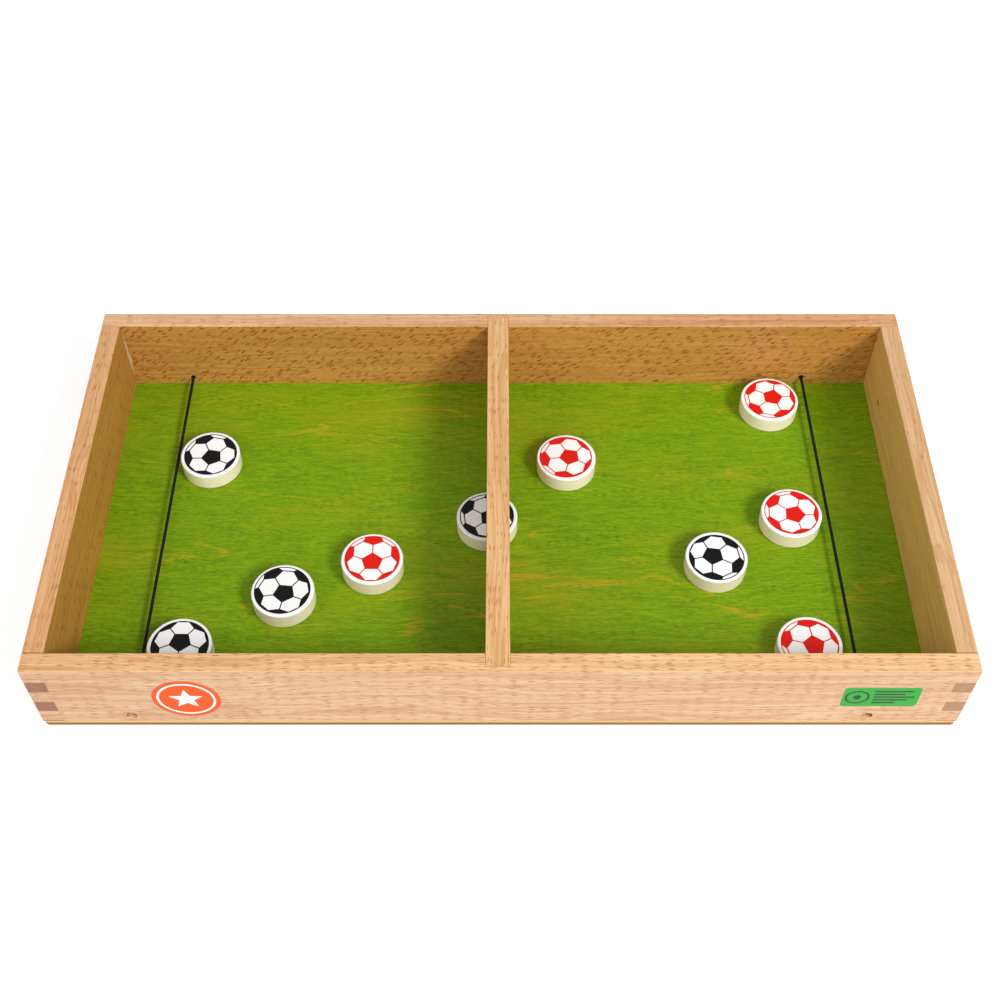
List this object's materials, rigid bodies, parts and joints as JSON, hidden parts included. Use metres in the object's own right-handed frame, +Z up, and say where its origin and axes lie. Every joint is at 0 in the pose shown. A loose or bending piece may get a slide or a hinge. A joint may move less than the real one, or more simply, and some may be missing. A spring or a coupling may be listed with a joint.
{
  "type": "sling puck football board game",
  "caption": "Shallow wooden tray with a green field, a centre divider with a low gate, an elastic sling across each end and football-printed discs.",
  "frame": {"origin": "centre of the underside", "axes": "+X along the long side towards the right end, +Y from the labelled front face to the back, +Z up"},
  "size_m": [0.44, 0.2301, 0.05],
  "materials": {
    "green_ply": "green-stained plywood",
    "beech": "satin clear-coated beech",
    "elastic": "matte black covered elastic",
    "puck_wood": "satin white-topped wooden disc",
    "orange_label": "smooth coated paper",
    "green_label": "smooth coated paper"
  },
  "bodies": {
    "board": {"base_panel": "green_ply", "front_wall": "beech", "back_wall": "beech", "left_wall": "beech", "right_wall": "beech", "divider": "beech", "left_sling_front_knot": "elastic", "left_sling_back_knot": "elastic", "right_sling_front_knot": "elastic", "right_sling_back_knot": "elastic", "round_label": "orange_label", "product_label": "green_label"},
    "left_sling_front_run": {"left_sling_front_run": "elastic"},
    "left_sling_back_run": {"left_sling_back_run": "elastic"},
    "right_sling_front_run": {"right_sling_front_run": "elastic"},
    "right_sling_back_run": {"right_sling_back_run": "elastic"},
    "left_sling_centre": {"left_sling_centre": "elastic"},
    "right_sling_centre": {"right_sling_centre": "elastic"},
    "black_puck_1": {"black_puck_1": "puck_wood"},
    "black_puck_2": {"black_puck_2": "puck_wood"},
    "black_puck_3": {"black_puck_3": "puck_wood"},
    "black_puck_4": {"black_puck_4": "puck_wood"},
    "black_puck_5": {"black_puck_5": "puck_wood"},
    "red_puck_1": {"red_puck_1": "puck_wood"},
    "red_puck_2": {"red_puck_2": "puck_wood"},
    "red_puck_3": {"red_puck_3": "puck_wood"},
    "red_puck_4": {"red_puck_4": "puck_wood"},
    "red_puck_5": {"red_puck_5": "puck_wood"}
  },
  "joints": [
    {"name": "left_sling_pull", "type": "slide", "parent": "board", "child": "left_sling_centre", "axis": [-1, 0, 0], "range_m": [0, 0.03], "stiffness_N_per_m": 60},
    {"name": "left_sling_front_swing", "type": "hinge", "parent": "board", "child": "left_sling_front_run", "pos_m": [-0.1763, -0.105, 0.0088], "axis": [0, 0, 1], "range_deg": [0, 18.63]},
    {"name": "left_sling_back_swing", "type": "hinge", "parent": "board", "child": "left_sling_back_run", "pos_m": [-0.1763, 0.105, 0.0088], "axis": [0, 0, -1], "range_deg": [0, 18.63]},
    {"name": "right_sling_pull", "type": "slide", "parent": "board", "child": "right_sling_centre", "axis": [1, 0, 0], "range_m": [0, 0.03], "stiffness_N_per_m": 60},
    {"name": "right_sling_front_swing", "type": "hinge", "parent": "board", "child": "right_sling_front_run", "pos_m": [0.17566, -0.105, 0.0088], "axis": [0, 0, -1], "range_deg": [0, 18.63]},
    {"name": "right_sling_back_swing", "type": "hinge", "parent": "board", "child": "right_sling_back_run", "pos_m": [0.17314, 0.105, 0.0088], "axis": [0, 0, 1], "range_deg": [0, 18.63]},
    {"name": "black_puck_1_slide", "type": "slide", "parent": "board", "child": "black_puck_1", "axis": [1, 0, 0], "range_m": [-0.001, 0.1349]},
    {"name": "black_puck_2_slide", "type": "slide", "parent": "board", "child": "black_puck_2", "axis": [1, 0, 0], "range_m": [-0.049, 0.009]},
    {"name": "black_puck_3_slide", "type": "slide", "parent": "board", "child": "black_puck_3", "axis": [1, 0, 0], "range_m": [-0.001, 0.1347]},
    {"name": "black_puck_4_slide", "type": "slide", "parent": "board", "child": "black_puck_4", "axis": [1, 0, 0], "range_m": [-0.05, 0.013]},
    {"name": "black_puck_5_slide", "type": "slide", "parent": "board", "child": "black_puck_5", "axis": [1, 0, 0], "range_m": [-0.02, 0.049]},
    {"name": "red_puck_1_slide", "type": "slide", "parent": "board", "child": "red_puck_1", "axis": [1, 0, 0], "range_m": [-0.009, 0.022]},
    {"name": "red_puck_2_slide", "type": "slide", "parent": "board", "child": "red_puck_2", "axis": [1, 0, 0], "range_m": [-0.015, 0.12]},
    {"name": "red_puck_3_slide", "type": "slide", "parent": "board", "child": "red_puck_3", "axis": [1, 0, 0], "range_m": [-0.1305, 0.004]},
    {"name": "red_puck_4_slide", "type": "slide", "parent": "board", "child": "red_puck_4", "axis": [1, 0, 0], "range_m": [-0.012, 0.003]},
    {"name": "red_puck_5_slide", "type": "slide", "parent": "board", "child": "red_puck_5", "axis": [1, 0, 0], "range_m": [-0.1315, 0.005]}
  ],
  "couplings": [
    {"joint": "left_sling_front_swing", "follows": "left_sling_pull", "rad_per_m": 10.837},
    {"joint": "left_sling_back_swing", "follows": "left_sling_pull", "rad_per_m": 10.837},
    {"joint": "right_sling_front_swing", "follows": "right_sling_pull", "rad_per_m": 10.837},
    {"joint": "right_sling_back_swing", "follows": "right_sling_pull", "rad_per_m": 10.837}
  ]
}
